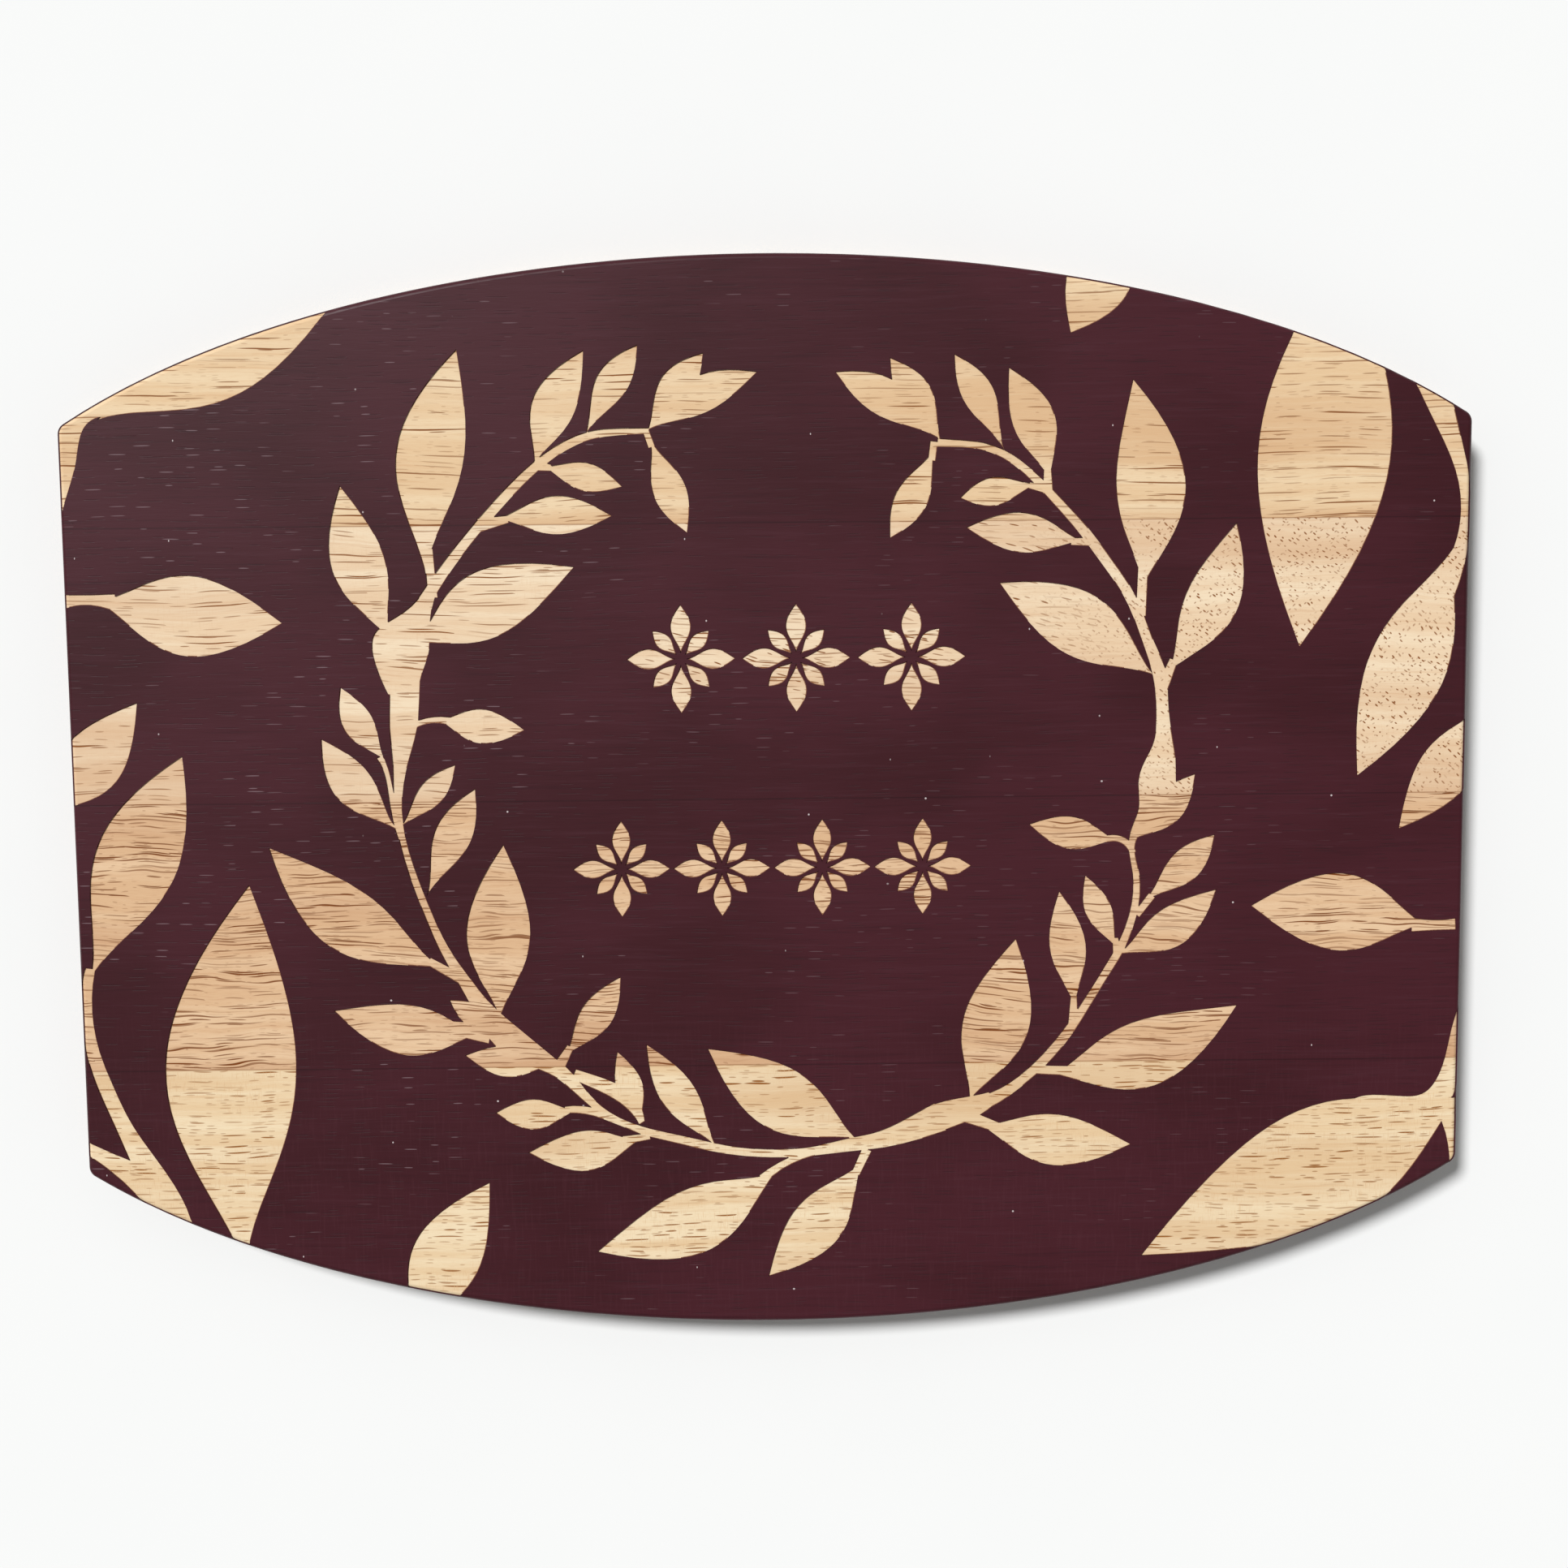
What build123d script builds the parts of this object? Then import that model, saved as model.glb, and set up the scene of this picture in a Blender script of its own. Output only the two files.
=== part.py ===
"""Wooden plaque: an edge-glued board, stained burgundy over its face and edges, with a leaf wreath left bare.

Millimetres, +Z up. The plaque lies on its four rubber feet, face up, with the top of its design towards +Y.
The origin is on the surface that the feet stand on, under the middle of the board.
"""

from build123d import *
import os
from math import hypot, log, pi, sin

# ---- driving dimensions ----

BOARD_WIDTH = 401.0
SIDE_HEIGHT = 216.0  # height of the two straight sides
ARCH_RISE = 46.8  # rise of the top and bottom curves over the corners
ARCH_HALF_WIDTH = 242.0  # each curve is part of an ellipse, this far from its middle to its end
CORNER_RADIUS = 3.5
BOARD_THICKNESS = 16.0  # wood and stain together
STAIN = 0.4  # stained skin, the depth that the bare areas are engraved to
ARRIS_RADIUS = 1.5  # eased edge round the face
BACK_CHAMFER = 1.1
ENGRAVE_AT_EDGE = 0.6  # how far below the bare wood the engraving runs out over the eased edge

GLUE_LINES = (79.5, 0.5, -77.5)  # Y of the three edge joints between the four staves

FOOT_RADIUS = 8.0
FOOT_HEIGHT = 5.0
FOOT_RECESS = 2.0  # each foot is let into the back this far
FOOT_CLEARANCE = 0.2
FOOT_X = 165.0
FOOT_Y = 95.0
FOOT_CUP_RADIUS = 4.4
FOOT_CUP_DEPTH = 2.4
FOOT_LIP = 0.8

WASHER_RADIUS = 4.2
WASHER_THICKNESS = 0.8
SCREW_CLEARANCE = 0.15

SCREW_RADIUS = 1.75
PAN_HEAD_RADIUS = 3.4
PAN_HEAD_HEIGHT = 1.3
PAN_HEAD_ROUND = 0.5
FOOT_SCREW_DEPTH = 9.0  # length of the foot screws in the wood
FLAT_HEAD_RADIUS = 3.5
FLAT_HEAD_HEIGHT = 1.75
HANGER_SCREW_DEPTH = 9.0
CROSS_LENGTH = 3.8
CROSS_WIDTH = 0.8
CROSS_DEPTH = 0.8

HANGER_X = 120.0
HANGER_Y = 45.0
HANGER_WIDTH = 16.0
HANGER_LENGTH = 50.0
HANGER_THICKNESS = 2.0
HANGER_CORNER = 3.0
HANGER_CLEARANCE = 0.1
HANGER_SCREW_SPACING = 40.0
KEYHOLE_RADIUS = 4.5  # the entry that a wall screw's head goes through
KEYHOLE_SLOT_WIDTH = 4.4
KEYHOLE_TRAVEL = 12.0
KEYHOLE_ENTRY_Y = -6.0  # from the middle of the hanger
CAVITY_WIDTH = 11.0
CAVITY_DEPTH = 8.0  # below the back of the board, under the keyhole

# ---- levels ----

Z_BACK = FOOT_HEIGHT - FOOT_RECESS
Z_FACE = Z_BACK + BOARD_THICKNESS
Z_WOOD = Z_FACE - STAIN

FOOT_PLACES = [(FOOT_X, FOOT_Y), (-FOOT_X, FOOT_Y), (-FOOT_X, -FOOT_Y), (FOOT_X, -FOOT_Y)]
HANGER_PLACES = {"hanger_left": (-HANGER_X, HANGER_Y), "hanger_right": (HANGER_X, HANGER_Y)}
HANGER_SCREW_PLACES = [
    (x, y + end * HANGER_SCREW_SPACING / 2)
    for x, y in HANGER_PLACES.values()
    for end in (-1, 1)
]

# ---- the bare design ----
# A leaf is its base, its tip, how far it swells to the left and to the right of the line from base to
# tip, and how far along that line it is widest.

BRANCH_LEAVES = [
    # left branch, from its top round to the bottom of the wreath
    ((-33, 106), (-2.3, 121.8), 7.0, 3.3, 0.52),
    ((-33, 106), (-17.5, 127.2), 5.6, 4.0, 0.55),
    ((-32.3, 102), (-22.7, 76.8), 4.4, 5.0, 0.53),
    ((-50.5, 105.5), (-36, 129.6), 5.5, 3.7, 0.56),
    ((-65, 98), (-51.3, 128.2), 7.7, 4.6, 0.48),
    ((-62, 95.6), (-41, 90), 4.1, 3.9, 0.51),
    ((-75, 81.3), (-44, 81.8), 6.1, 4.8, 0.50),
    ((-97, 67), (-87, 128.8), 13.0, 6.2, 0.52),
    ((-98.6, 47), (-55, 67.5), 11.0, 8.2, 0.44),
    ((-108.5, 49), (-121, 91), 9.6, 5.8, 0.49),
    ((-111, 14), (-122.6, 33.8), 5.5, 3.3, 0.51),
    ((-108, -6.5), (-128.5, 19), 7.5, 4.2, 0.53),
    ((-93, 24), (-70.2, 21), 4.6, 5.3, 0.47),
    ((-105.5, -5.5), (-90.2, 11.3), 3.4, 3.9, 0.54),
    ((-98.8, -25.5), (-84.7, 4.3), 5.6, 5.0, 0.55),
    ((-79, -61), (-77, -12), 10.2, 8.3, 0.47),
    ((-97, -47), (-144.5, -12.3), 13.6, 5.2, 0.49),
    ((-87, -67), (-127.3, -60.2), 9.8, 5.2, 0.46),
    ((-59.5, -73), (-43.8, -51), 4.0, 5.4, 0.51),
    ((-65, -76.5), (-89.5, -73.8), 5.2, 4.0, 0.50),
    ((-81, -67), (-93.6, -57.3), 3.0, 3.6, 0.50),
    ((-59, -90.5), (-81, -91), 5.4, 3.7, 0.50),
    ((-41, -99.8), (-71.7, -103), 7.4, 4.7, 0.46),
    ((-39, -94), (-45.2, -73.2), 3.6, 4.2, 0.50),
    ((-17.5, -100.5), (-36.7, -71.1), 5.8, 4.6, 0.51),
    ((23, -99), (-18.8, -72.6), 10.9, 7.9, 0.48),
    ((-1, -110.5), (-52, -133), 13.2, 6.4, 0.47),
    ((25, -108), (-1.7, -141), 9.0, 6.4, 0.50),
    # right branch, from its top round to the bottom
    ((49, 102.5), (19.8, 121.6), 3.7, 7.0, 0.56),
    ((49, 102.5), (35.2, 125.4), 4.0, 5.5, 0.54),
    ((47.3, 99), (35, 74.8), 5.2, 4.2, 0.54),
    ((67, 100), (53.4, 126.2), 3.6, 5.3, 0.57),
    ((80, 92), (68.8, 122.4), 4.5, 7.6, 0.50),
    ((76, 89.6), (55, 86), 4.0, 4.1, 0.55),
    ((88.5, 73.6), (56.7, 77.6), 5.2, 6.1, 0.50),
    ((109, 36), (66.2, 61.9), 7.6, 10.7, 0.49),
    ((107, 62), (103.9, 118.8), 6.2, 13.6, 0.47),
    ((115.3, 37.5), (133.8, 78.3), 4.8, 10.6, 0.49),
    ((105.5, -11.5), (122.7, 6.6), 4.0, 5.7, 0.50),
    ((98.5, -12.2), (74.8, -7.6), 5.0, 4.5, 0.49),
    ((100, -43), (91, -22.7), 4.3, 3.3, 0.52),
    ((88, -60), (83.5, -27.2), 4.9, 5.6, 0.51),
    ((58, -87), (71, -41), 8.4, 11.0, 0.47),
    ((109, -29.5), (128.5, -11.1), 4.0, 5.4, 0.55),
    ((102, -45), (129.2, -27.1), 3.9, 7.9, 0.49),
    ((84, -80.6), (135.5, -61.2), 6.2, 13.8, 0.45),
    ((62.5, -96.4), (104.8, -102.4), 6.1, 9.2, 0.48),
]
BORDER_LEAVES = [
    # clockwise from the top left corner; those that reach the edge run out over it
    ((-189, 110), (-121, 142.5), 14.0, 11.2, 0.52),
    ((104, 165), (86.2, 131.8), 9.0, 9.0, 0.55),
    ((162.6, 165), (152.2, 42.8), 20.6, 17.4, 0.54),
    ((196.5, 72), (169.3, 5.5), 12.3, 10.4, 0.52),
    ((206, 26), (181.6, -10.0), 9.2, 6.6, 0.50),
    ((189.5, -38), (139.2, -32), 10.4, 12.3, 0.49),
    ((198, -93), (108, -136), 17.5, 19.3, 0.42),
    ((-107, -158), (-83.2, -111.8), 11.8, 8.6, 0.50),
    ((-155.4, -137), (-150.6, -23), 24.0, 14.2, 0.52),
    ((-197.5, -50), (-168.5, 14.5), 12.6, 11.2, 0.54),
    ((-208, -2), (-180.8, 30.0), 8.0, 9.5, 0.48),
    ((-191, 59), (-138.6, 52.3), 10.4, 12.6, 0.50),
]

# A stem is a row of points along its middle, each with the stem's width there.

LEFT_STEMS = [
    [(-33, 105.6, 1.7), (-42, 105.4, 2), (-50, 104.4, 2.4), (-57, 101.6, 2.6), (-64, 97, 2.8),
     (-76, 85.7, 3), (-90, 69.4, 3.2), (-98, 58, 4)],
    [(-94, 65, 3), (-97, 59, 4), (-100.5, 52.5, 9), (-104.8, 46, 16.4), (-105.2, 39, 13.4), (-104.4, 32, 9)],
    [(-104, 38, 9), (-104.3, 30, 8.6), (-104.9, 22, 8), (-106, 12, 4.4), (-106.9, 3, 2.6), (-106.6, -6, 2),
     (-102.8, -22, 2.2), (-99.2, -32, 2.3), (-95, -42, 2.7), (-90, -50.5, 3.6), (-85, -58.5, 5),
     (-80.5, -64.5, 7)],
    [(-84, -60, 5), (-80.5, -65, 7.5), (-75, -70.5, 8.6), (-68, -75, 6.2), (-61, -79.6, 4.2)],
    [(-64, -77.4, 4.6), (-60, -80.6, 4), (-56, -85, 3), (-51, -89.9, 2.2), (-45, -93.8, 2), (-38, -96.8, 2.4),
     (-30, -98.9, 2.6), (-20, -101.4, 2.7), (-10, -103.3, 2.5), (0, -104, 2.5), (12, -103.5, 2.8)],
    [(6, -103.9, 2.6), (14, -103.1, 3), (22, -101.7, 4), (31, -100.3, 5), (40, -97.4, 7), (49, -93.6, 9)],
]
RIGHT_STEM = [
    (61, -89.6, 4.4), (65.5, -87.8, 3.8), (70, -85, 3.2), (77.5, -78.8, 3), (86, -69, 3), (92, -59.8, 2.6),
    (97, -51.6, 2.5), (101, -44.8, 2.6), (104.2, -37, 2.3), (105.9, -29, 2.2), (105.7, -22, 2), (104.5, -14, 2),
    (105.6, -10, 3), (109.4, -5, 7), (111.6, 1, 11), (111.8, 6, 10.6), (112.8, 11, 8.5), (113.4, 16, 5.6),
    (113.2, 22, 4), (112.8, 29, 3.6), (112.2, 35, 4), (109, 44, 3.2), (105.6, 53, 3), (102.4, 59.5, 3),
    (97.6, 66.5, 3), (91.3, 75, 3), (84.8, 82.5, 2.7), (78.2, 89.5, 2.5), (73, 94.3, 2.3), (67.5, 98.1, 2.2),
    (60, 100.7, 2.1), (54, 101.3, 2.1), (48.5, 101.6, 2.4),
]
TWIGS = [
    [(46, -94.8, 8.4), (52, -92.6, 8.2), (58, -90.8, 6.8), (64, -88.2, 4.2)],
    [(-34, 105.6, 1.9), (-32.4, 101, 2)],
    [(-66, 96.2, 3), (-61, 95.5, 1.9)],
    [(-82, 79.5, 4), (-73.5, 81.2, 2.2)],
    [(-95.5, 59, 3), (-95.9, 66, 2.6), (-96.4, 73, 2.6)],
    [(-112, 13.8, 1.9), (-110.2, 10, 1.6), (-108.8, 2, 1.6), (-107, -7, 2.2), (-106.1, -10, 2.2)],
    [(-103, 22, 2), (-98, 24, 1.8), (-91.5, 23.8, 2.4)],
    [(-99.5, -45.8, 2.4), (-88, -52.5, 3)],
    [(-94, -65.5, 4), (-82, -67.5, 6)],
    [(-62, -77, 3.5), (-58.8, -71.5, 2.2)],
    [(-61, -90.4, 2.2), (-53, -90.9, 2.4), (-45, -93.9, 2.2), (-38, -96.8, 2)],
    [(-44, -99.6, 2.6), (-36, -98.5, 2)],
    [(-58, -79.6, 3), (-50, -82.9, 4.2), (-43, -87, 4.4), (-38.3, -94.5, 2)],
    [(-3.5, -111.8, 3), (5, -106.2, 2.2), (12, -103.8, 2)],
    [(24, -110.5, 2.6), (27.5, -103, 3)],
    [(47.6, 102, 2.2), (46.9, 96.5, 2.2)],
    [(79.8, 94, 2.2), (80, 87, 3)],
    [(81, 88, 3), (74.5, 89.4, 1.8)],
    [(93, 73.2, 2.4), (86.5, 73.4, 2.2)],
    [(107.2, 67, 3), (106.6, 52, 3)],
    [(116.2, 39.5, 2.6), (112.8, 31, 3.4)],
    [(97, -12.1, 2.2), (102, -12.6, 2), (105, -16.5, 2)],
    [(99.9, -41, 1.8), (100.4, -46, 2.4)],
    [(87.9, -58, 1.9), (87.8, -66, 3)],
    [(110.5, -28.6, 2.4), (106, -34.5, 2.2)],
    [(88, -80.3, 3), (77, -79.8, 2.6)],
    [(55, -92.9, 4), (66.5, -97.2, 3)],
    # along the border
    [(-203, 106, 5), (-190, 113.5, 5.5), (-178, 118, 10), (-165, 122, 12)],
    [(-187, 113, 4), (-195, 109.6, 6), (-198.4, 99, 6.4), (-199.8, 89, 3), (-202, 80, 1.5)],
    [(-203, 58.6, 5), (-195, 59.4, 3), (-186, 58.6, 5)],
    [(-197.4, -47, 3), (-199.2, -60, 3.8), (-197.9, -71, 4), (-194.2, -83, 4.6), (-189.6, -94, 5),
     (-184.5, -104, 7), (-179, -113, 7.5), (-172.5, -127, 5)],
    [(-206, -97, 4), (-196, -103, 4.4), (-186, -109.5, 8), (-175, -125, 8)],
    [(170, -96, 12), (184, -93.6, 10), (193, -91, 8), (197.8, -83, 6), (199.4, -73, 4), (203, -60, 2)],
    [(196.6, -90, 7), (198.8, -99, 3.8), (200.5, -110, 4)],
    [(186, -38.1, 4.2), (192, -38.3, 3.2), (198.8, -38, 3.4)],
    [(189.5, 50, 5), (195, 62, 6), (198.1, 72, 3.8), (199.1, 81, 3.2), (198.2, 90, 3.4), (195.6, 99, 4.6),
     (192.6, 107, 6.4), (189, 117, 9), (186.4, 124.5, 10)],
]
LEAF_NECK = 1.35  # how slender a leaf is where it leaves its stem
LEAF_POINT = 0.95  # and how blunt it is at its tip
LEAF_STATIONS = 7
LEAF_ROOT = 1.6  # each leaf of the branches starts this far inside its stem

# Two rows of plain rosettes fill the middle of the wreath: Y, reach, and the X of each one.

ROSETTE_ROWS = [
    (41.0, 15.5, (-25.0, 8.0, 41.0)),
    (-19.5, 14.0, (-43.0, -14.0, 15.0, 44.0)),
]
PETAL_SWELL = 0.19  # of the petal's reach, to each side
PETAL_START = 0.1  # of the rosette's reach, from its middle
SMALL_PETAL = 0.74  # the four petals between the large ones, next to those


def outline_sketch(inset, level):
    """The board's outline, drawn in by inset all round: straight sides under two flat elliptical arches."""
    half_width = BOARD_WIDTH / 2
    drop = 1 - (1 - (half_width / ARCH_HALF_WIDTH) ** 2) ** 0.5
    arch_half_height = ARCH_RISE / drop
    arch_middle = SIDE_HEIGHT / 2 + ARCH_RISE - arch_half_height
    width = BOARD_WIDTH - 2 * inset
    long_radius = ARCH_HALF_WIDTH - inset
    short_radius = arch_half_height - inset
    corner = arch_middle + short_radius * (1 - (width / 2 / long_radius) ** 2) ** 0.5
    with BuildSketch(Plane.XY.offset(level)) as outline:
        with Locations((0, arch_middle), (0, -arch_middle)):
            Ellipse(long_radius, short_radius)
        Rectangle(width, BOARD_WIDTH, mode=Mode.INTERSECT)
        Rectangle(width, 2 * corner)
        fillet(outline.vertices(), CORNER_RADIUS - inset)
    return outline.sketch


def leaf_outline(base, tip, left, right, belly):
    """Points up the left and the right side of a leaf, from its base to its tip."""
    along_x = tip[0] - base[0]
    along_y = tip[1] - base[1]
    length = hypot(along_x, along_y)
    across = (-along_y / length, along_x / length)
    warp = log(0.5) / log(belly)
    sides = ([], [])
    for station in range(LEAF_STATIONS + 1):
        part = station / LEAF_STATIONS
        exponent = LEAF_NECK + (LEAF_POINT - LEAF_NECK) * part
        half_width = (left + right) / 2 * max(sin(pi * part**warp), 0) ** exponent
        bow = (left - right) / 2 * 4 * part * (1 - part)
        for points, reach in zip(sides, (bow + half_width, bow - half_width)):
            points.append((base[0] + along_x * part + across[0] * reach,
                           base[1] + along_y * part + across[1] * reach))
    return sides


def rooted(base, tip, left, right, belly):
    """The same leaf, with its base drawn back into the stem."""
    length = hypot(tip[0] - base[0], tip[1] - base[1])
    share = LEAF_ROOT / length
    root = (base[0] - (tip[0] - base[0]) * share, base[1] - (tip[1] - base[1]) * share)
    return root, tip, left, right, (belly * length + LEAF_ROOT) / (length + LEAF_ROOT)


def stem_outline(stem):
    """Points along the left and the right side of a stem that follows a row of points with widths."""
    sides = ([], [])
    last = len(stem) - 1
    for place, (x, y, width) in enumerate(stem):
        before = stem[max(place - 1, 0)]
        after = stem[min(place + 1, last)]
        along_x = after[0] - before[0]
        along_y = after[1] - before[1]
        length = hypot(along_x, along_y)
        for points, reach in zip(sides, (width / 2, -width / 2)):
            points.append((x - along_y / length * reach, y + along_x / length * reach))
    return sides


def rosette_petals(x, y, reach):
    """The eight petals of one rosette, as leaves: four large ones and four small ones between them."""
    petals = []
    for step in range(8):
        size = reach if step % 2 == 0 else reach * SMALL_PETAL
        direction = Vector(1, 0).rotate(Axis.Z, step * 45)
        start = Vector(x, y) + direction * reach * PETAL_START
        end = Vector(x, y) + direction * size
        swell = size * PETAL_SWELL
        petals.append(((start.X, start.Y), (end.X, end.Y), swell, swell, 0.55))
    return petals


def bare_shapes():
    """Every leaf, petal and stem of the bare design as a flat face, at the depth of the engraving."""
    leaves = BORDER_LEAVES + [rooted(*leaf) for leaf in BRANCH_LEAVES]
    for y, reach, columns in ROSETTE_ROWS:
        for x in columns:
            leaves = leaves + rosette_petals(x, y, reach)
    outlines = [leaf_outline(*leaf) for leaf in leaves]
    outlines += [stem_outline(stem) for stem in LEFT_STEMS + [RIGHT_STEM] + TWIGS]
    faces = []
    for left_side, right_side in outlines:
        with BuildSketch(Plane.XY.offset(Z_WOOD - ENGRAVE_AT_EDGE)) as shape:
            with BuildLine():
                left_edge = Spline(*left_side)
                right_edge = Spline(*right_side)
                if left_side[0] != right_side[0]:
                    Line(left_edge @ 0, right_edge @ 0)
                if (left_edge @ 1 - right_edge @ 1).length > 0.001:
                    Line(left_edge @ 1, right_edge @ 1)
            make_face()
        faces.append(shape.sketch.face())
    with BuildSketch(Plane.XY.offset(Z_WOOD - ENGRAVE_AT_EDGE)) as design:
        add(faces)
    return design.sketch.faces()


def stave_body(low, high):
    """One stave of the unstained board: the strip of it between two heights of the design."""
    with BuildPart() as strip:
        add(outline_sketch(STAIN, Z_BACK))
        extrude(amount=Z_WOOD - Z_BACK)
        fillet(strip.faces().sort_by(Axis.Z)[-1].edges(), ARRIS_RADIUS - STAIN)
        chamfer(strip.faces().sort_by(Axis.Z)[0].edges(), BACK_CHAMFER)
        with BuildSketch(Plane.XY) as strip_area:
            with Locations((0, (low + high) / 2)):
                Rectangle(BOARD_WIDTH, high - low)
        extrude(amount=Z_FACE, mode=Mode.INTERSECT)
    return strip.part


def make_stave(name, low, high):
    """A stave with the recesses and screw holes that fall in its strip of the back."""
    feet = [place for place in FOOT_PLACES if low < place[1] < high]
    hangers = [place for place in HANGER_PLACES.values() if low < place[1] < high]
    hanger_screws = [place for place in HANGER_SCREW_PLACES if low < place[1] < high]
    back = Plane.XY.offset(Z_BACK)
    with BuildPart() as stave:
        add(stave_body(low, high))
        if feet:
            with BuildSketch(back) as foot_recesses:
                with Locations(*feet):
                    Circle(FOOT_RADIUS + FOOT_CLEARANCE)
            extrude(amount=FOOT_RECESS, mode=Mode.SUBTRACT)
            with BuildSketch(back) as foot_pilots:
                with Locations(*feet):
                    Circle(SCREW_RADIUS)
            extrude(amount=FOOT_RECESS + FOOT_SCREW_DEPTH, mode=Mode.SUBTRACT)
        if hangers:
            with BuildSketch(back) as hanger_recesses:
                with Locations(*hangers):
                    RectangleRounded(
                        HANGER_WIDTH + 2 * HANGER_CLEARANCE,
                        HANGER_LENGTH + 2 * HANGER_CLEARANCE,
                        HANGER_CORNER + HANGER_CLEARANCE,
                    )
            extrude(amount=HANGER_THICKNESS, mode=Mode.SUBTRACT)
            with BuildSketch(back) as keyhole_cavities:
                with Locations(*hangers):
                    with Locations((0, KEYHOLE_ENTRY_Y + KEYHOLE_TRAVEL / 2)):
                        SlotCenterToCenter(KEYHOLE_TRAVEL, CAVITY_WIDTH, rotation=90)
            extrude(amount=CAVITY_DEPTH, mode=Mode.SUBTRACT)
            with BuildSketch(back) as hanger_pilots:
                with Locations(*hanger_screws):
                    Circle(SCREW_RADIUS)
            extrude(amount=FLAT_HEAD_HEIGHT + HANGER_SCREW_DEPTH, mode=Mode.SUBTRACT)
    stave.part.label = name
    export_step(stave.part, f"parts/{name}.step")


os.makedirs("parts", exist_ok=True)

# ---- the four glued staves, from the top of the board to its foot ----
HALF_HEIGHT = SIDE_HEIGHT / 2 + ARCH_RISE
make_stave("stave_1", GLUE_LINES[0], HALF_HEIGHT)
make_stave("stave_2", GLUE_LINES[1], GLUE_LINES[0])
make_stave("stave_3", GLUE_LINES[2], GLUE_LINES[1])
make_stave("stave_4", -HALF_HEIGHT, GLUE_LINES[2])

# ---- the burgundy skin of the face and edges, with the bare design engraved through it ----
with BuildPart() as stained_wood:
    add(outline_sketch(STAIN, Z_BACK))
    extrude(amount=Z_WOOD - Z_BACK)
    fillet(stained_wood.faces().sort_by(Axis.Z)[-1].edges(), ARRIS_RADIUS - STAIN)

with BuildPart() as stain_coat:
    add(outline_sketch(0, Z_BACK + BACK_CHAMFER))
    extrude(amount=Z_FACE - Z_BACK - BACK_CHAMFER)
    fillet(stain_coat.faces().sort_by(Axis.Z)[-1].edges(), ARRIS_RADIUS)
    add(stained_wood.part, mode=Mode.SUBTRACT)
    extrude(
        to_extrude=bare_shapes(),
        amount=STAIN + ENGRAVE_AT_EDGE,
        dir=(0, 0, 1),
        mode=Mode.SUBTRACT,
    )
stain_coat.part.label = "stain_coat"
export_step(stain_coat.part, "parts/stain_coat.step")

# ---- four rubber feet, each let into the back and held by a screw up its cup ----
for number, place in enumerate(FOOT_PLACES, start=1):
    with BuildPart() as rubber_foot:
        with BuildSketch(Plane.XY) as foot_disc:
            with Locations(place):
                Circle(FOOT_RADIUS)
        extrude(amount=FOOT_HEIGHT)
        fillet(rubber_foot.faces().sort_by(Axis.Z)[0].edges(), FOOT_LIP)
        with BuildSketch(Plane.XY) as foot_cup:
            with Locations(place):
                Circle(FOOT_CUP_RADIUS)
        extrude(amount=FOOT_CUP_DEPTH, mode=Mode.SUBTRACT)
        with BuildSketch(Plane.XY) as foot_hole:
            with Locations(place):
                Circle(SCREW_RADIUS + SCREW_CLEARANCE)
        extrude(amount=FOOT_HEIGHT, mode=Mode.SUBTRACT)
    rubber_foot.part.label = f"rubber_foot_{number}"
    export_step(rubber_foot.part, f"parts/rubber_foot_{number}.step")

# ---- washers in the cups of the feet ----
WASHER_LEVEL = FOOT_CUP_DEPTH - WASHER_THICKNESS
with BuildPart() as foot_washers:
    with BuildSketch(Plane.XY.offset(WASHER_LEVEL)) as washer_rings:
        with Locations(*FOOT_PLACES):
            Circle(WASHER_RADIUS)
            Circle(SCREW_RADIUS + SCREW_CLEARANCE, mode=Mode.SUBTRACT)
    extrude(amount=WASHER_THICKNESS)
foot_washers.part.label = "foot_washers"
export_step(foot_washers.part, "parts/foot_washers.step")

# ---- pan head screws of the feet ----
HEAD_LEVEL = WASHER_LEVEL - PAN_HEAD_HEIGHT
FOOT_SCREW_TIP = Z_BACK + FOOT_RECESS + FOOT_SCREW_DEPTH
with BuildPart() as foot_screws:
    with BuildSketch(Plane.XY.offset(HEAD_LEVEL)) as pan_heads:
        with Locations(*FOOT_PLACES):
            Circle(PAN_HEAD_RADIUS)
    extrude(amount=PAN_HEAD_HEIGHT)
    fillet(foot_screws.faces().group_by(Axis.Z)[0].edges(), PAN_HEAD_ROUND)
    with BuildSketch(Plane.XY.offset(WASHER_LEVEL)) as foot_shanks:
        with Locations(*FOOT_PLACES):
            Circle(SCREW_RADIUS)
    extrude(amount=FOOT_SCREW_TIP - WASHER_LEVEL)
    with BuildSketch(Plane.XY.offset(HEAD_LEVEL)) as pan_crosses:
        with Locations(*FOOT_PLACES):
            Rectangle(CROSS_LENGTH, CROSS_WIDTH)
            Rectangle(CROSS_WIDTH, CROSS_LENGTH)
    extrude(amount=CROSS_DEPTH, mode=Mode.SUBTRACT)
foot_screws.part.label = "foot_screws"
export_step(foot_screws.part, "parts/foot_screws.step")

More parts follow.
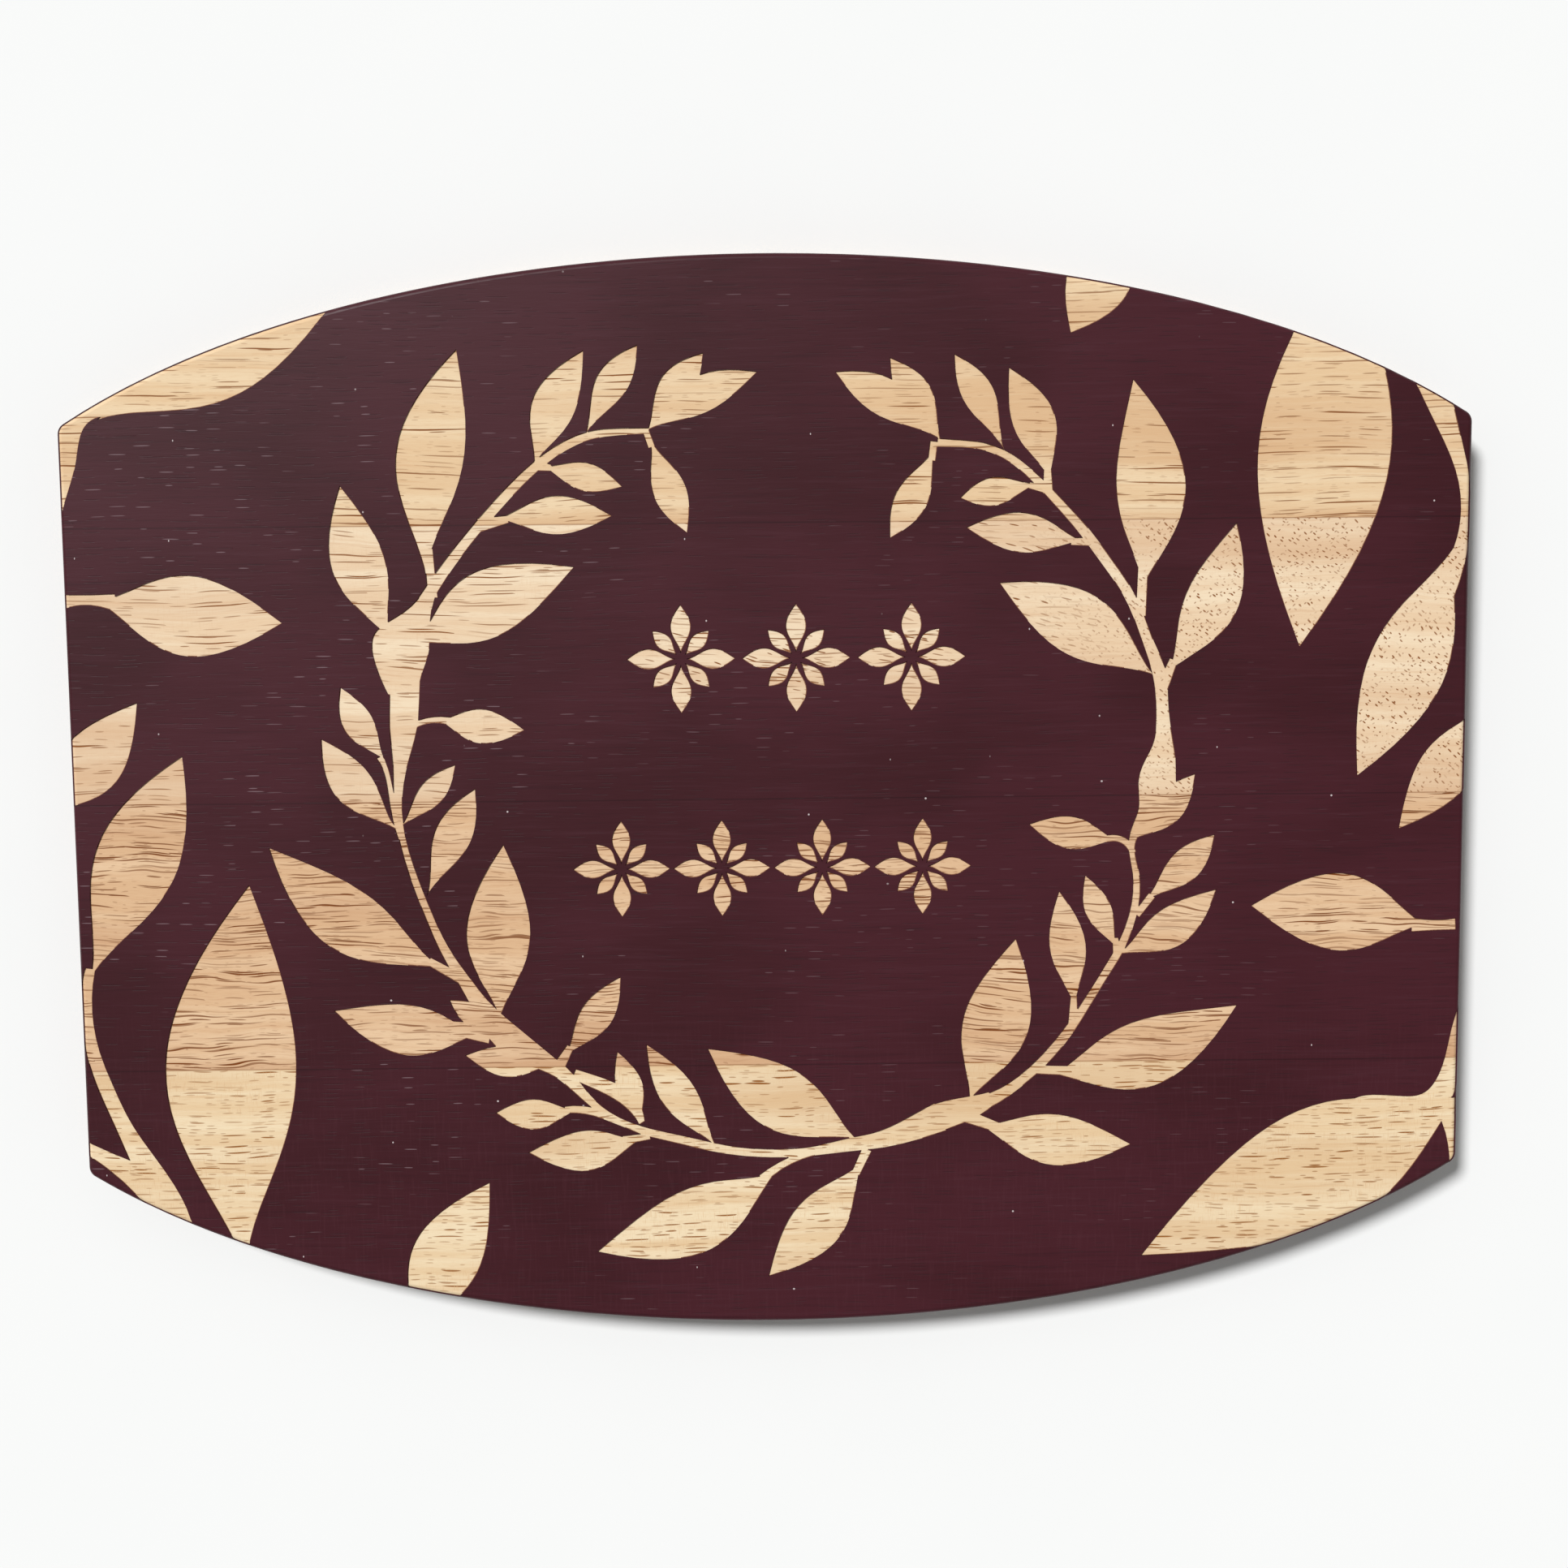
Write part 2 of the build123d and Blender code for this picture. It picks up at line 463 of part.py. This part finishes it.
# ---- two keyhole hangers, set flush in the back ----
for name, place in HANGER_PLACES.items():
    screw_places = [spot for spot in HANGER_SCREW_PLACES if spot[0] == place[0]]
    with BuildPart() as hanger:
        with BuildSketch(Plane.XY.offset(Z_BACK)) as hanger_plate:
            with Locations(place):
                RectangleRounded(HANGER_WIDTH, HANGER_LENGTH, HANGER_CORNER)
                with Locations((0, KEYHOLE_ENTRY_Y)):
                    Circle(KEYHOLE_RADIUS, mode=Mode.SUBTRACT)
                with Locations((0, KEYHOLE_ENTRY_Y + KEYHOLE_TRAVEL / 2)):
                    SlotCenterToCenter(
                        KEYHOLE_TRAVEL,
                        KEYHOLE_SLOT_WIDTH,
                        rotation=90,
                        mode=Mode.SUBTRACT,
                    )
        extrude(amount=HANGER_THICKNESS)
        with Locations(*[Location((x, y, Z_BACK), (180, 0, 0)) for x, y in screw_places]):
            CounterSinkHole(SCREW_RADIUS + SCREW_CLEARANCE, FLAT_HEAD_RADIUS + SCREW_CLEARANCE, HANGER_THICKNESS)
    hanger.part.label = name
    export_step(hanger.part, f"parts/{name}.step")

# ---- flat head screws of the hangers ----
HEAD_TIP = Z_BACK + FLAT_HEAD_HEIGHT
with BuildPart() as hanger_screws:
    with Locations(*[(x, y, Z_BACK + FLAT_HEAD_HEIGHT / 2) for x, y in HANGER_SCREW_PLACES]):
        Cone(FLAT_HEAD_RADIUS, SCREW_RADIUS, FLAT_HEAD_HEIGHT)
    with BuildSketch(Plane.XY.offset(HEAD_TIP)) as hanger_shanks:
        with Locations(*HANGER_SCREW_PLACES):
            Circle(SCREW_RADIUS)
    extrude(amount=HANGER_SCREW_DEPTH)
    with BuildSketch(Plane.XY.offset(Z_BACK)) as flat_crosses:
        with Locations(*HANGER_SCREW_PLACES):
            Rectangle(CROSS_LENGTH, CROSS_WIDTH)
            Rectangle(CROSS_WIDTH, CROSS_LENGTH)
    extrude(amount=CROSS_DEPTH, mode=Mode.SUBTRACT)
hanger_screws.part.label = "hanger_screws"
export_step(hanger_screws.part, "parts/hanger_screws.step")
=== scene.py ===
"""Looks of a wooden plaque: four glued staves, a burgundy stain with a leaf wreath left bare, rubber feet
and keyhole hangers. Metres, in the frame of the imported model: face up, top of the design towards +Y."""

from math import radians

import bmesh
import bpy
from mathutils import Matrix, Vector


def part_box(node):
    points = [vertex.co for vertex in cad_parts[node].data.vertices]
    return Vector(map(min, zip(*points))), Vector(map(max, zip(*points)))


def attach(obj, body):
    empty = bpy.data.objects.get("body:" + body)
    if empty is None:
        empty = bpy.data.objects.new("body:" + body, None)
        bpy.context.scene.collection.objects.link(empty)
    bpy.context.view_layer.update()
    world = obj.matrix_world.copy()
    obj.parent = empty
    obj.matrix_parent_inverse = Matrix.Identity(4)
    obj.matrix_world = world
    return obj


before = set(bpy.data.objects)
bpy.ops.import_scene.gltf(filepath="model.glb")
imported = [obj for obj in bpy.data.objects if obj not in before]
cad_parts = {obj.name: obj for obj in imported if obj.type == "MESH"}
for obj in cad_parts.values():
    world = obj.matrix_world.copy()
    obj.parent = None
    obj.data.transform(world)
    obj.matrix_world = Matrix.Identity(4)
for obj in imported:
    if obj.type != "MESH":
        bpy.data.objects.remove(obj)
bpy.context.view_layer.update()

MM = 0.001
ARRIS = 1.5 * MM
FACE_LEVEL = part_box("stain_coat")[1].z
WOOD_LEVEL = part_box("stave_2")[1].z
GLUE_LINES = [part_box(lower)[1].y for lower in ("stave_2", "stave_3", "stave_4")]


# ---- shader tools ----


class Wire:
    """A shader value. Arithmetic on it adds Math nodes."""

    def __init__(self, finish, socket):
        self.finish = finish
        self.socket = socket

    def maths(self, operation, *values):
        return self.finish.node("ShaderNodeMath", {"operation": operation}, dict(enumerate(values)))

    def __add__(self, other):
        return self.maths("ADD", self, other)

    __radd__ = __add__

    def __sub__(self, other):
        return self.maths("SUBTRACT", self, other)

    def __rsub__(self, other):
        return self.maths("SUBTRACT", other, self)

    def __mul__(self, other):
        return self.maths("MULTIPLY", self, other)

    __rmul__ = __mul__

    def __truediv__(self, other):
        return self.maths("DIVIDE", self, other)

    def over(self, low, high):
        """0 below low, 1 above high, and a smooth step between them."""
        settings = {"interpolation_type": "SMOOTHSTEP"}
        values = {"Value": self, "From Min": low, "From Max": high}
        return self.finish.node("ShaderNodeMapRange", settings, values)

    def under(self, low, high):
        """1 below low and 0 above high."""
        return 1 - self.over(low, high)


class Finish:
    """A material round one Principled shader."""

    def __init__(self, name, **constants):
        self.material = bpy.data.materials.new(name)
        self.material.use_nodes = True
        self.tree = self.material.node_tree
        self.shader = self.tree.nodes["Principled BSDF"]
        for socket, value in constants.items():
            self.shader.inputs[socket.replace("_", " ")].default_value = value
        self.place = self.node("ShaderNodeTexCoord", output="Object")

    def node(self, kind, settings=None, values=None, output=0):
        """Any node: its settings first, then the values or links of its sockets."""
        made = self.tree.nodes.new(kind)
        for key, value in (settings or {}).items():
            setattr(made, key, value)
        for key, value in (values or {}).items():
            if isinstance(value, Wire):
                self.tree.links.new(value.socket, made.inputs[key])
            else:
                made.inputs[key].default_value = value
        return Wire(self, made.outputs[output])

    def link(self, wire, socket):
        self.tree.links.new(wire.socket, self.shader.inputs[socket])

    def axis(self, vector, letter):
        return self.node("ShaderNodeSeparateXYZ", values={0: vector}, output=letter)

    def along(self, x, y, z=0.0):
        return self.node("ShaderNodeCombineXYZ", values={0: x, 1: y, 2: z})

    def mapped(self, cell, turn=0.0, shift=(0.0, 0.0, 0.0), vector=None):
        """Coordinates where a cell of this size in millimetres is one unit, turned in the face's plane."""
        turned = self.node("ShaderNodeMapping", {"vector_type": "POINT"},
                           {"Vector": vector or self.place, "Rotation": (0.0, 0.0, radians(turn))})
        scale = tuple(1 / (size * MM) for size in cell)
        return self.node("ShaderNodeMapping", {"vector_type": "POINT"},
                         {"Vector": turned, "Scale": scale, "Location": shift})

    def noise(self, vector, detail=2.0, roughness=0.5, output="Fac"):
        return self.node("ShaderNodeTexNoise", {"noise_dimensions": "3D"},
                         {"Vector": vector, "Scale": 1.0, "Detail": detail, "Roughness": roughness}, output)

    def dashes(self, vector, length, width, share):
        """Separate thin dashes along X, at most one in each cell of the coordinates, of uneven length and
        strength. Length and width are half of a dash's, as shares of a cell."""
        middle = self.node("ShaderNodeTexVoronoi", {"voronoi_dimensions": "2D", "feature": "F1"},
                           {"Vector": vector, "Scale": 1.0, "Randomness": 0.9}, "Position")
        chance = Wire(self, middle.socket.node.outputs["Color"])
        offset = self.node("ShaderNodeVectorMath", {"operation": "SUBTRACT"}, {0: vector, 1: middle})
        along = self.axis(offset, "X") / ((0.35 + 0.65 * self.axis(chance, "Y")) * length)
        across = self.axis(offset, "Y") / width
        strength = self.axis(chance, "X").over(1 - share, 1 - share * 0.6)
        return (along * along + across * across).under(0.5, 1.1) * strength

    def blend(self, factor, first, second, kind="MIX"):
        """Two colours mixed. Either may be a colour or a link."""
        made = self.tree.nodes.new("ShaderNodeMix")
        made.data_type = "RGBA"
        made.blend_type = kind
        for key, value in ((0, factor), (6, first), (7, second)):
            if isinstance(value, Wire):
                self.tree.links.new(value.socket, made.inputs[key])
            else:
                made.inputs[key].default_value = value
        return Wire(self, made.outputs[2])

    def relief(self, height, depth):
        """Bump of a depth in millimetres."""
        values = {"Strength": 1.0, "Distance": depth * MM, "Height": height}
        self.link(self.node("ShaderNodeBump", values=values), "Normal")


def linear(part):
    """The linear value of one channel of a screen colour."""
    if part <= 0.04045:
        return part / 12.92
    return ((part + 0.055) / 1.055) ** 2.4


def paint(code):
    """A shader colour from a screen colour such as "e6c79b"."""
    red, green, blue = (int(code[place:place + 2], 16) / 255 for place in (0, 2, 4))
    return (linear(red), linear(green), linear(blue), 1.0)


def give(node, finish):
    """A CAD node's slots all take one finish."""
    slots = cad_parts[node].data.materials
    if not len(slots):
        slots.append(finish.material)
    for place in range(len(slots)):
        slots[place] = finish.material


# ---- bare wood ----


def bare_wood(name, seed, pale, middle, warm, pore, sways, layers, bands_mm, rays):
    """Pale open-pored wood, its grain along X: growth bands, fibres, layers of fine pores and ray flecks."""
    wood = Finish(name, Roughness=0.62, IOR=1.45)
    wood.shader.inputs["Specular IOR Level"].default_value = 0.3
    x = wood.axis(wood.place, "X")
    y = wood.axis(wood.place, "Y")
    z = wood.axis(wood.place, "Z")
    drift = (seed * 7.3, seed * 3.1, seed * 5.7)
    slow = wood.noise(wood.mapped((90, 30, 40), shift=drift), 1.0) - 0.5
    quick = wood.noise(wood.mapped((16, 6, 20), shift=drift), 1.0) - 0.5
    grain = wood.along(x, y + slow * (sways[0] * MM) + quick * (sways[1] * MM), z)

    figure = wood.noise(wood.mapped((130, bands_mm, 30), shift=drift, vector=grain), 4.0, 0.62)
    wide = wood.noise(wood.mapped((240, 24, 60), shift=drift, vector=grain), 2.0)
    streaks = wood.noise(wood.mapped((38, 0.8, 12), shift=drift, vector=grain), 3.0, 0.65)
    fibres = wood.noise(wood.mapped((3.2, 0.24, 3), shift=drift, vector=grain), 2.0, 0.6)

    colour = wood.blend(figure.over(0.38, 0.64), middle, pale)
    colour = wood.blend(wide.over(0.45, 0.72) * 0.7, colour, warm)
    colour = wood.blend(streaks.over(0.54, 0.76) * 0.4, colour, pale)
    colour = wood.blend(streaks.under(0.28, 0.46) * 0.5, colour, warm)
    colour = wood.blend(fibres.under(0.28, 0.5) * 0.3, colour, warm)

    for line in GLUE_LINES:
        above = (y - line) / MM
        colour = wood.blend(above.over(-0.2, 0.4) * above.under(0.5, 4.0) * 0.45, colour, warm)
        colour = wood.blend(above.maths("ABSOLUTE", above).under(0.08, 0.3) * 0.55, colour, pore)

    marks = None
    gather = wood.noise(wood.mapped((60, 5, 30), shift=drift, vector=grain), 2.0).over(0.36, 0.6)
    for order, (cell, length, width, share, slant, strength, where) in enumerate(layers):
        place = (drift[0] + order * 5.1, drift[1] + order * 2.7, 0.0)
        scaled = wood.mapped((*cell, 1000), slant, place, grain)
        pores = wood.dashes(scaled, length, width, share) * strength * (0.55 + 0.45 * gather)
        if where:
            pores = pores * where(x, y)
        marks = marks.maths("MAXIMUM", marks, pores) if marks else pores
    colour = wood.blend(marks, colour, pore)
    if rays:
        flecks = wood.noise(wood.mapped((0.3, 3.6, 6), shift=drift), 2.0, 0.6).over(0.54, 0.7)
        area = wood.noise(wood.mapped((22, 12, 20), shift=drift), 1.0).over(0.42, 0.6)
        colour = wood.blend(flecks * area * rays, colour, warm)

    wood.link(colour, "Base Color")
    wood.link(0.58 + 0.12 * fibres + 0.1 * marks, "Roughness")
    wood.relief(0.5 * fibres - marks + 0.2 * streaks, 0.05)
    return wood


def right_part(x, y):
    return x.over(0.062, 0.125)


def left_part(x, y):
    return x.under(0.04, 0.11)


def middle_part(x, y):
    return x.over(-0.075, -0.03) * x.under(0.07, 0.11)


# Each layer of pores: cell in millimetres, half length and half width of a pore as shares of it, share of
# the cells that have one, slant in degrees, strength and where it grows.

STAVE_LOOKS = {
    "stave_1": dict(
        seed=1.0, pale=paint("f0d6b0"), middle=paint("e8c79d"), warm=paint("d9ae82"), pore=paint("854608"),
        sways=(7.0, 1.2), bands_mm=5.0, rays=0.0,
        layers=[
            ((26, 2.1), 0.60, 0.10, 0.50, 0, 1.0, None),
            ((12, 1.3), 0.55, 0.12, 0.45, 0, 0.80, None),
            ((4, 0.8), 0.42, 0.20, 0.35, 0, 0.30, None),
        ],
    ),
    "stave_2": dict(
        seed=2.0, pale=paint("f5dfbf"), middle=paint("ecceaa"), warm=paint("dab28c"), pore=paint("8a4c12"),
        sways=(9.0, 1.8), bands_mm=7.0, rays=0.2,
        layers=[
            ((20, 1.8), 0.60, 0.11, 0.50, 0, 1.0, left_part),
            ((8, 1.1), 0.50, 0.14, 0.45, 0, 0.75, left_part),
            ((4.6, 1.6), 0.50, 0.13, 0.60, 14, 0.95, middle_part),
            ((2.0, 1.5), 0.40, 0.15, 0.65, 38, 0.95, right_part),
            ((1.5, 1.2), 0.34, 0.17, 0.40, -32, 0.65, right_part),
        ],
    ),
    "stave_3": dict(
        seed=3.0, pale=paint("eac8a2"), middle=paint("dfb78e"), warm=paint("cb9c75"), pore=paint("7c3f0c"),
        sways=(12.0, 3.0), bands_mm=6.0, rays=0.0,
        layers=[
            ((24, 1.7), 0.65, 0.12, 0.85, 0, 1.0, None),
            ((11, 1.3), 0.58, 0.13, 0.70, 0, 0.95, None),
            ((3.2, 0.8), 0.42, 0.20, 0.35, 0, 0.35, None),
        ],
    ),
    "stave_4": dict(
        seed=4.0, pale=paint("f4dfbb"), middle=paint("eacca2"), warm=paint("dab387"), pore=paint("94550f"),
        sways=(6.0, 1.5), bands_mm=5.0, rays=0.55,
        layers=[
            ((9, 1.7), 0.55, 0.13, 0.60, 0, 0.95, None),
            ((4.5, 1.1), 0.46, 0.16, 0.50, 0, 0.60, None),
        ],
    ),
}
for stave, look in STAVE_LOOKS.items():
    give(stave, bare_wood(stave.replace("stave", "rubberwood"), **look))


# ---- burgundy stain ----


def burgundy_stain():
    """Satin stain over the wood: faint grain, shallow pores, a few pale flecks made stronger on the left as
    painted sheen, glue lines just showing.
    """
    stain = Finish("burgundy_stain", Roughness=0.42, IOR=1.5)
    stain.shader.inputs["Specular IOR Level"].default_value = 0.22
    x = stain.axis(stain.place, "X")
    y = stain.axis(stain.place, "Y")
    z = stain.axis(stain.place, "Z")
    sway = stain.noise(stain.mapped((70, 22, 40)), 2.0) - 0.5
    grain = stain.along(x, y + sway * (3 * MM), z)
    clouds = stain.noise(stain.mapped((75, 45, 60)), 3.0)
    streaks = stain.noise(stain.mapped((32, 1.1, 12), vector=grain), 4.0, 0.65)
    fibres = stain.noise(stain.mapped((4, 0.3, 3), vector=grain), 2.0, 0.6)
    upright = stain.noise(stain.mapped((0.7, 9, 6)), 2.0)
    colour = stain.blend(clouds.over(0.35, 0.65), paint("3d161d"), paint("461b24"))
    colour = stain.blend(streaks.over(0.5, 0.75) * 0.22, colour, paint("54303a"))
    colour = stain.blend(streaks.under(0.28, 0.46) * 0.3, colour, paint("2a1118"))
    colour = stain.blend(upright.over(0.5, 0.7) * y.under(-0.1, -0.04) * 0.12, colour, paint("5a3038"))
    upper = z.over(FACE_LEVEL - ARRIS, FACE_LEVEL - ARRIS / 2)
    pores = stain.dashes(stain.mapped((9, 1.2, 1000), vector=grain), 0.48, 0.13, 0.6) * upper
    colour = stain.blend(pores * 0.35, colour, paint("220c12"))
    flecks = stain.dashes(stain.mapped((7, 2.4, 1000), shift=(3.0, 9.0, 0.0), vector=grain), 0.4, 0.06, 0.3)
    rare = stain.noise(stain.mapped((40, 30, 60)), 2.0).over(0.46, 0.6) * upper
    # Pale flecks where the stain missed the pores, made far stronger towards the left: that extra on the
    # left is painted sheen, the light's haze on that side of the face.
    left = x.under(-0.12, 0.06)
    colour = stain.blend(flecks * rare * (0.12 + 0.3 * left), colour, paint("a08a90"))
    for line in GLUE_LINES:
        above = (y - line) / MM
        colour = stain.blend(above.maths("ABSOLUTE", above).under(0.1, 0.3) * 0.4, colour, paint("1f0b10"))
    specks = stain.dashes(stain.mapped((30, 30, 1000), shift=(0.4, 0.7, 0.0)), 0.012, 0.01, 0.5)
    colour = stain.blend(specks * upper * 0.8, colour, paint("d8cccc"))
    stain.link(colour, "Base Color")
    stain.link(0.33 + 0.1 * fibres + 0.08 * clouds + 0.08 * pores, "Roughness")
    stain.relief(0.4 * fibres - 0.8 * pores + 0.25 * streaks, 0.02)
    return stain


give("stain_coat", burgundy_stain())


# ---- brown line along the foot of the engraving ----

# A brown line laid on the bare wood all round, along the foot of every engraved wall; width and height in
# millimetres.
FOOT_LINE_WIDTH = 0.42
FOOT_LINE_HEIGHT = 0.06
LEVEL_SLACK = 0.002
WALL_LEAN = 0.2  # a wall's normal leans out of the face's plane by less than this
FLAT_LEAN = 0.9


def engraving_foot():
    """The lines on the bare wood where the engraved walls of the skin meet it, as a mesh of edges."""
    skin = bmesh.new()
    skin.from_mesh(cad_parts["stain_coat"].data)
    skin.transform(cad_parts["stain_coat"].matrix_world)
    bmesh.ops.remove_doubles(skin, verts=skin.verts, dist=LEVEL_SLACK * MM)
    skin.normal_update()
    lines = []
    for edge in skin.edges:
        level = all(abs(end.co.z - WOOD_LEVEL) < LEVEL_SLACK * MM for end in edge.verts)
        leans = sorted(abs(face.normal.z) for face in edge.link_faces)
        if level and len(leans) == 2 and leans[0] < WALL_LEAN and leans[1] > FLAT_LEAN:
            lines.append((edge.verts[0].co.copy(), edge.verts[1].co.copy()))
    skin.free()
    foot = bmesh.new()
    for start, end in lines:
        foot.edges.new((foot.verts.new(start), foot.verts.new(end)))
    bmesh.ops.remove_doubles(foot, verts=foot.verts, dist=LEVEL_SLACK * MM)
    mesh = bpy.data.meshes.new("engraving_foot")
    foot.to_mesh(mesh)
    foot.free()
    return mesh


def ribbon_tree():
    """Geometry Nodes: a flat closed ribbon of a given width and height along every line of the mesh."""
    tree = bpy.data.node_groups.new("ribbon_on_lines", "GeometryNodeTree")
    tree.interface.new_socket("Geometry", in_out="INPUT", socket_type="NodeSocketGeometry")
    for name in ("Width", "Height"):
        tree.interface.new_socket(name, in_out="INPUT", socket_type="NodeSocketFloat")
    tree.interface.new_socket("Material", in_out="INPUT", socket_type="NodeSocketMaterial")
    tree.interface.new_socket("Geometry", in_out="OUTPUT", socket_type="NodeSocketGeometry")
    start = tree.nodes.new("NodeGroupInput")
    lines = tree.nodes.new("GeometryNodeMeshToCurve")
    upright = tree.nodes.new("GeometryNodeSetCurveNormal")
    upright.mode = "Z_UP"
    profile = tree.nodes.new("GeometryNodeCurvePrimitiveQuadrilateral")
    sweep = tree.nodes.new("GeometryNodeCurveToMesh")
    sweep.inputs["Fill Caps"].default_value = True
    whole = tree.nodes.new("GeometryNodeRealizeInstances")
    finish = tree.nodes.new("GeometryNodeSetMaterial")
    out = tree.nodes.new("NodeGroupOutput")
    for first, second in (
        (start.outputs["Geometry"], lines.inputs["Mesh"]),
        (lines.outputs["Curve"], upright.inputs["Curve"]),
        (upright.outputs["Curve"], sweep.inputs["Curve"]),
        (start.outputs["Width"], profile.inputs["Width"]),
        (start.outputs["Height"], profile.inputs["Height"]),
        (profile.outputs["Curve"], sweep.inputs["Profile Curve"]),
        (sweep.outputs["Mesh"], whole.inputs["Geometry"]),
        (whole.outputs["Geometry"], finish.inputs["Geometry"]),
        (start.outputs["Material"], finish.inputs["Material"]),
        (finish.outputs["Geometry"], out.inputs["Geometry"]),
    ):
        tree.links.new(first, second)
    return tree


def foot_line_finish():
    """Umber brown line, uneven in strength, where the cut meets the bare wood."""
    foot_line_look = Finish("foot_brown_line", Roughness=0.7, IOR=1.45)
    foot_line_look.shader.inputs["Specular IOR Level"].default_value = 0.2
    patches = foot_line_look.noise(foot_line_look.mapped((9, 7, 9)), 3.0, 0.6)
    grit = foot_line_look.noise(foot_line_look.mapped((0.5, 0.3, 0.5)), 2.0)
    colour = foot_line_look.blend(patches.over(0.35, 0.65), paint("6b4034"), paint("8f6148"))
    colour = foot_line_look.blend(grit.over(0.45, 0.7) * 0.5, colour, paint("b58a66"))
    foot_line_look.link(colour, "Base Color")
    foot_line_look.link(0.65 + 0.15 * grit, "Roughness")
    foot_line_look.relief(grit, 0.02)
    return foot_line_look.material


def foot_brown_line():
    lines = bpy.data.objects.new("engraving_foot", engraving_foot())
    bpy.context.scene.collection.objects.link(lines)
    ribbon = lines.modifiers.new("ribbon", "NODES")
    ribbon.node_group = ribbon_tree()
    material = foot_line_finish()
    sizes = {"Width": FOOT_LINE_WIDTH * MM, "Height": FOOT_LINE_HEIGHT * MM, "Material": material}
    for item in ribbon.node_group.interface.items_tree:
        if item.in_out == "INPUT" and item.name in sizes:
            ribbon[item.identifier] = sizes[item.name]
    bpy.context.view_layer.update()
    swept = lines.evaluated_get(bpy.context.evaluated_depsgraph_get())
    mesh = bpy.data.meshes.new_from_object(swept)
    bpy.data.objects.remove(lines)
    piece = bpy.data.objects.new("foot_brown_line", mesh)
    bpy.context.scene.collection.objects.link(piece)
    if not len(mesh.materials):
        mesh.materials.append(material)
    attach(piece, "root")


foot_brown_line()


# ---- rubber and metal ----


def moulded_rubber():
    rubber = Finish("foot_rubber", Roughness=0.8, IOR=1.5)
    mottle = rubber.noise(rubber.mapped((1.6, 1.6, 1.6)), 4.0, 0.6)
    dust = rubber.noise(rubber.mapped((5, 5, 5)), 3.0).over(0.5, 0.75)
    colour = rubber.blend(mottle.over(0.3, 0.7), paint("1b1b1c"), paint("2a2a2b"))
    colour = rubber.blend(dust * 0.3, colour, paint("5a5855"))
    rubber.link(colour, "Base Color")
    rubber.link(0.72 + 0.15 * mottle, "Roughness")
    rubber.relief(mottle, 0.06)
    return rubber


def zinc_plate():
    zinc = Finish("zinc_plate", Metallic=1.0, Roughness=0.35)
    bloom = zinc.noise(zinc.mapped((2.2, 2.2, 2.2)), 4.0, 0.6)
    scratches = zinc.noise(zinc.mapped((0.2, 3.0, 3.0), turn=35), 2.0)
    colour = zinc.blend(bloom.over(0.35, 0.65), paint("b9bcc0"), paint("d6d4cc"))
    zinc.link(colour, "Base Color")
    zinc.link(0.25 + 0.2 * bloom + 0.1 * scratches, "Roughness")
    zinc.relief(scratches, 0.01)
    return zinc


def black_lacquer():
    lacquer = Finish("black_lacquer", Roughness=0.4, IOR=1.5)
    peel = lacquer.noise(lacquer.mapped((0.9, 0.9, 0.9)), 2.0)
    wear = lacquer.noise(lacquer.mapped((6, 6, 6)), 4.0, 0.65).over(0.58, 0.72)
    colour = lacquer.blend(peel.over(0.3, 0.7), paint("17171a"), paint("222226"))
    colour = lacquer.blend(wear * 0.35, colour, paint("56565a"))
    lacquer.link(colour, "Base Color")
    lacquer.link(0.34 + 0.12 * peel + 0.1 * wear, "Roughness")
    lacquer.relief(peel, 0.02)
    return lacquer


RUBBER = moulded_rubber()
ZINC = zinc_plate()
LACQUER = black_lacquer()
for number in range(1, 5):
    give(f"rubber_foot_{number}", RUBBER)
for fitting in ("foot_washers", "foot_screws", "hanger_screws"):
    give(fitting, ZINC)
for hanger in ("hanger_left", "hanger_right"):
    give(hanger, LACQUER)


# ---- floor, light and camera ----

FLOOR_SIZE = 6.0
WORLD_STRENGTH = 0.24
KEY_STRENGTH = 3.0
KEY_SPREAD = radians(11)
KEY_DIRECTION = (0.47, -0.55, -1.0)  # from above the top left corner
CAMERA_HEIGHT = 0.60422  # over the face
CAMERA_TURN = (radians(-5.779), radians(-0.26), radians(-0.572))
LENS = 48.45

floor_mesh = bpy.data.meshes.new("floor")
half = FLOOR_SIZE / 2
corners = [(-half, -half, 0), (half, -half, 0), (half, half, 0), (-half, half, 0)]
floor_mesh.from_pydata(corners, [], [(0, 1, 2, 3)])
floor = bpy.data.objects.new("floor", floor_mesh)
bpy.context.scene.collection.objects.link(floor)
paper = Finish("white_paper", Roughness=0.9)
paper.shader.inputs["Specular IOR Level"].default_value = 0.1
mottle = paper.noise(paper.mapped((60, 60, 60)))
paper.link(paper.blend(mottle, (0.93, 0.94, 0.935, 1), (0.95, 0.955, 0.95, 1)), "Base Color")
floor_mesh.materials.append(paper.material)

world = bpy.data.worlds.new("studio")
world.use_nodes = True
world.node_tree.nodes["Background"].inputs["Color"].default_value = (1.0, 1.0, 0.985, 1.0)
world.node_tree.nodes["Background"].inputs["Strength"].default_value = WORLD_STRENGTH
bpy.context.scene.world = world

sky = bpy.data.lights.new("key", "SUN")
sky.energy = KEY_STRENGTH
sky.angle = KEY_SPREAD
key = bpy.data.objects.new("key", sky)
bpy.context.scene.collection.objects.link(key)
key.rotation_euler = Vector(KEY_DIRECTION).to_track_quat("-Z", "Y").to_euler()

camera_data = bpy.data.cameras.new("camera")
camera_data.sensor_width = 36.0
camera_data.lens = LENS
camera_data.clip_start = 0.01
camera = bpy.data.objects.new("camera", camera_data)
bpy.context.scene.collection.objects.link(camera)
camera.location = (0.00143, 0.06592, FACE_LEVEL + CAMERA_HEIGHT)
camera.rotation_mode = "ZYX"
camera.rotation_euler = CAMERA_TURN
bpy.context.scene.camera = camera
bpy.context.scene.view_settings.view_transform = "Standard"
